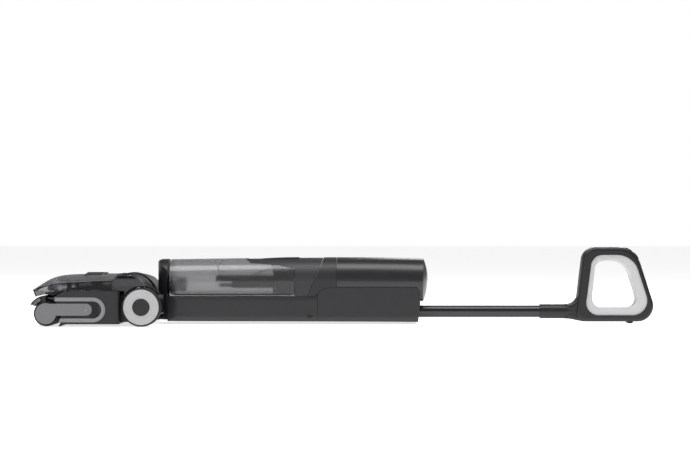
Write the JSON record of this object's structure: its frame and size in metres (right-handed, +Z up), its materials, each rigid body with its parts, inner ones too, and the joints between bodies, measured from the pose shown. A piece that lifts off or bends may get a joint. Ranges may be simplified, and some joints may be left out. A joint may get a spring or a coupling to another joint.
{
  "type": "wet dry floor scrubber",
  "caption": "Wet dry floor scrubber laid flat: fleece roller under a clear hood, reclining and swinging neck, lift-out water tanks, motor barrel, rod and loop handle.",
  "frame": {"origin": "middle of the whole machine's bounding box, on the floor it lies on", "axes": "+X from the floor head to the handle, +Y to the machine's right, +Z up"},
  "size_m": [1.2498, 0.252, 0.1555],
  "materials": {
    "head_plastic": "satin moulded plastic",
    "cover_plastic": "satin moulded plastic",
    "collar_plastic": "satin moulded plastic",
    "body_plastic": "satin moulded plastic",
    "lid_plastic": "satin moulded plastic",
    "barrel_plastic": "semi-gloss moulded plastic",
    "handle_plastic": "satin moulded plastic",
    "arm_grey": "satin moulded plastic",
    "trim_grey": "satin moulded plastic",
    "wheel_grey": "satin moulded plastic",
    "hub_dark": "satin moulded plastic",
    "liner_light": "soft-touch light grey",
    "black_plastic": "matte moulded plastic",
    "button_dark": "satin moulded plastic",
    "tyre_rubber": "moulded rubber tread",
    "soft_rubber": "smooth rubber",
    "smoke_clear": "smoky clear polycarbonate",
    "clear_pipe": "clear polycarbonate",
    "fleece": "dense woven fleece",
    "steel": "turned steel",
    "rod_metal": "anodised dark metal",
    "display_black": "gloss black window",
    "filter_pleats": "pleated filter paper",
    "cell_wrap": "shrink-wrapped cells",
    "board_green": "solder mask",
    "motor_metal": "turned metal can"
  },
  "bodies": {
    "floor_head": {"head_chassis": "head_plastic", "inner_deck": "black_plastic", "spray_bar": "black_plastic", "head_rear_cover": "cover_plastic", "neck_shroud": "collar_plastic", "side_trims": "trim_grey", "vent_grilles": "black_plastic", "side_arms": "arm_grey", "squeegee": "soft_rubber", "steel_pins": "steel", "roller_motor": "motor_metal"},
    "window": {"brush_window": "smoke_clear", "latch_pan": "black_plastic"},
    "latch": {"window_latch": "collar_plastic"},
    "scraper": {"scraper_arm": "black_plastic", "scraper_comb": "trim_grey"},
    "roller": {"roller_core": "black_plastic", "roller_fleece": "fleece", "roller_plugs": "black_plastic"},
    "wheel_left": {"tyre_left": "tyre_rubber", "wheel_disc_left": "wheel_grey", "hub_cap_left": "hub_dark"},
    "wheel_right": {"tyre_right": "tyre_rubber", "wheel_disc_right": "wheel_grey", "hub_cap_right": "hub_dark"},
    "neck": {"neck_arm": "collar_plastic"},
    "main_body": {"foot_collar": "collar_plastic", "rear_casing": "body_plastic", "tank_cradle": "black_plastic", "steer_bracket": "motor_metal", "inlet_seal": "soft_rubber", "water_pump": "black_plastic", "dock_casing": "body_plastic", "motor_cover": "barrel_plastic", "display_lens": "display_black", "mid_frame": "black_plastic", "suction_motor": "motor_metal", "air_filter": "filter_pleats", "battery_cells": "cell_wrap", "control_board": "board_green", "handle_rod": "rod_metal", "handle_shell_left": "handle_plastic", "handle_shell_right": "handle_plastic", "handle_foot": "soft_rubber", "grip_liner": "liner_light", "button_pod": "collar_plastic"},
    "dirty_tank": {"tank_shell": "smoke_clear", "tank_lid": "lid_plastic", "tank_seal": "soft_rubber", "intake_pipe": "clear_pipe", "float_cage": "black_plastic", "strainer_box": "black_plastic"},
    "tank_release": {"tank_button": "button_dark"},
    "float": {"shut_off_float": "trim_grey"},
    "clean_water": {"clean_tank": "body_plastic", "clean_tank_cap": "black_plastic"},
    "clean_release": {"clean_tank_button": "black_plastic"},
    "fan": {"impeller": "black_plastic"},
    "mode_key": {"mode_button": "button_dark"},
    "power_key": {"power_button": "button_dark"}
  },
  "joints": [
    {"name": "window_open", "type": "hinge", "parent": "floor_head", "child": "window", "pos_m": [-0.618, 0, 0.076], "axis": [0, -1, 0], "range_deg": [0, 100]},
    {"name": "latch_press", "type": "slide", "parent": "window", "child": "latch", "axis": [0, 0, -1], "range_m": [0, 0.0022], "stiffness_N_per_m": 600, "springref_m": -0.002},
    {"name": "scraper_swing", "type": "hinge", "parent": "floor_head", "child": "scraper", "pos_m": [-0.594, 0, 0.026], "axis": [0, -1, 0], "range_deg": [0, 76]},
    {"name": "roller_spin", "type": "hinge", "parent": "floor_head", "child": "roller", "pos_m": [-0.594, 0, 0.026], "axis": [0, 1, 0], "continuous": true},
    {"name": "wheel_left_spin", "type": "hinge", "parent": "floor_head", "child": "wheel_left", "pos_m": [-0.4063, 0, 0.0385], "axis": [0, 1, 0], "continuous": true},
    {"name": "wheel_right_spin", "type": "hinge", "parent": "floor_head", "child": "wheel_right", "pos_m": [-0.4063, 0, 0.0385], "axis": [0, 1, 0], "continuous": true},
    {"name": "recline", "type": "hinge", "parent": "floor_head", "child": "neck", "pos_m": [-0.443, 0, 0.05], "axis": [0, -1, 0], "range_deg": [0, 90]},
    {"name": "steer", "type": "hinge", "parent": "neck", "child": "main_body", "pos_m": [-0.343, 0, 0.033], "axis": [0, 0, 1], "range_deg": [-25, 25]},
    {"name": "tank_lift", "type": "slide", "parent": "main_body", "child": "dirty_tank", "axis": [0, 0, 1], "range_m": [0, 0.08]},
    {"name": "tank_button_press", "type": "slide", "parent": "dirty_tank", "child": "tank_release", "axis": [0, 0, -1], "range_m": [0, 0.0025], "stiffness_N_per_m": 600, "springref_m": -0.002},
    {"name": "float_rise", "type": "slide", "parent": "dirty_tank", "child": "float", "axis": [1, 0, 0], "range_m": [0, 0.012]},
    {"name": "clean_tank_drop", "type": "slide", "parent": "main_body", "child": "clean_water", "axis": [0, 0, -1], "range_m": [0, 0.08]},
    {"name": "clean_button_press", "type": "slide", "parent": "main_body", "child": "clean_release", "axis": [0, 1, 0], "range_m": [0, 0.0015], "stiffness_N_per_m": 400, "springref_m": -0.002},
    {"name": "fan_spin", "type": "hinge", "parent": "main_body", "child": "fan", "pos_m": [0.01, 0, 0.1045], "axis": [1, 0, 0], "continuous": true},
    {"name": "mode_press", "type": "slide", "parent": "main_body", "child": "mode_key", "axis": [-0.7518, 0, -0.6593], "range_m": [0, 0.001], "stiffness_N_per_m": 400, "springref_m": -0.001},
    {"name": "power_press", "type": "slide", "parent": "main_body", "child": "power_key", "axis": [-0.4772, 0, -0.8788], "range_m": [0, 0.001], "stiffness_N_per_m": 400, "springref_m": -0.001}
  ]
}
